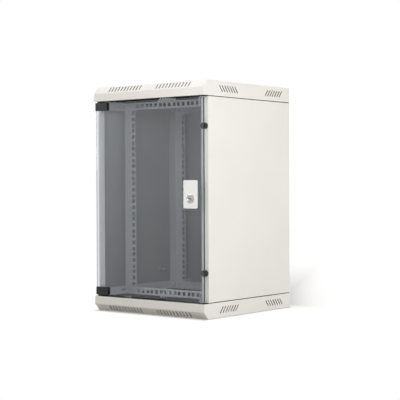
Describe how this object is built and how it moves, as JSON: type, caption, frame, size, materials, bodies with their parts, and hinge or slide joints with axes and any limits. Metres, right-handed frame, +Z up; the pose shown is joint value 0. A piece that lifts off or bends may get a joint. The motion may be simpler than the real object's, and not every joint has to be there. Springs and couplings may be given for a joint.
{
  "type": "wall mount network cabinet",
  "caption": "Compact wall mount network cabinet with a frameless glass door on corner pivots, slotted folded caps, adjustable square-hole rails and a cam lock.",
  "frame": {"origin": "middle of the underside of the bottom cap, at mid-width and mid-depth", "axes": "+Z up, +Y towards the wall, +X to the right as seen from the front (lock side)"},
  "size_m": [0.35, 0.35, 0.559],
  "materials": {
    "cabinet_paint": "fine textured powder coat, light grey, satin",
    "grey_paint": "fine textured powder coat, light grey, satin",
    "frame_paint": "smooth powder coat, mid grey, satin",
    "plate_paint": "smooth paint, light grey, satin",
    "door_glass": "toughened clear glass, slightly tinted, polished edges",
    "black_plastic": "moulded, fine grain, matte",
    "black_rubber": "moulded rubber, matte",
    "lock_chrome": "satin nickel plating",
    "zinc_steel": "zinc plated"
  },
  "bodies": {
    "cabinet": {"back_panel": "cabinet_paint", "back_panel_screws": "zinc_steel", "bar_screws": "zinc_steel", "bottom_cable_cover": "grey_paint", "bottom_cap": "cabinet_paint", "cable_cover_screws": "zinc_steel", "cap_screws": "zinc_steel", "earth_nuts": "zinc_steel", "earth_stud": "zinc_steel", "earth_washer": "zinc_steel", "front_bottom_bar": "frame_paint", "front_left_rail": "frame_paint", "front_right_rail": "frame_paint", "front_top_bar": "frame_paint", "left_side_panel": "cabinet_paint", "lower_door_bumper": "black_rubber", "lower_left_depth_bar": "frame_paint", "lower_pivot_bush": "black_plastic", "lower_right_depth_bar": "frame_paint", "rail_bolts": "zinc_steel", "rail_nuts": "zinc_steel", "rear_bottom_bar": "frame_paint", "rear_left_rail": "frame_paint", "rear_right_rail": "frame_paint", "rear_top_bar": "frame_paint", "right_side_panel": "cabinet_paint", "spare_pivot_plugs": "black_plastic", "top_cable_cover": "grey_paint", "top_cap": "cabinet_paint", "upper_door_bumper": "black_rubber", "upper_left_depth_bar": "frame_paint", "upper_pivot_bush": "black_plastic", "upper_right_depth_bar": "frame_paint"},
    "door": {"door_glass": "door_glass", "lock_back_plate": "plate_paint", "lock_gaskets": "black_rubber", "lock_housing": "lock_chrome", "lock_nut": "lock_chrome", "lock_plate": "plate_paint", "lower_clamp_back": "black_plastic", "lower_clamp_front": "black_plastic", "lower_clamp_pads": "black_rubber", "lower_clamp_screw": "zinc_steel", "lower_pivot_pin": "zinc_steel", "upper_clamp_back": "black_plastic", "upper_clamp_front": "black_plastic", "upper_clamp_pads": "black_rubber", "upper_clamp_screw": "zinc_steel", "upper_pivot_pin": "zinc_steel"},
    "lock": {"lock_cylinder": "lock_chrome", "lock_cam": "zinc_steel", "cam_screw": "zinc_steel"}
  },
  "joints": [
    {"name": "door_swing", "type": "hinge", "parent": "cabinet", "child": "door", "pos_m": [-0.162, -0.169, 0.2795], "axis": [0, 0, -1], "range_deg": [0, 180]},
    {"name": "lock_turn", "type": "hinge", "parent": "door", "child": "lock", "pos_m": [0.1325, -0.169, 0.2815], "axis": [0, 1, 0], "range_deg": [0, 90]}
  ]
}
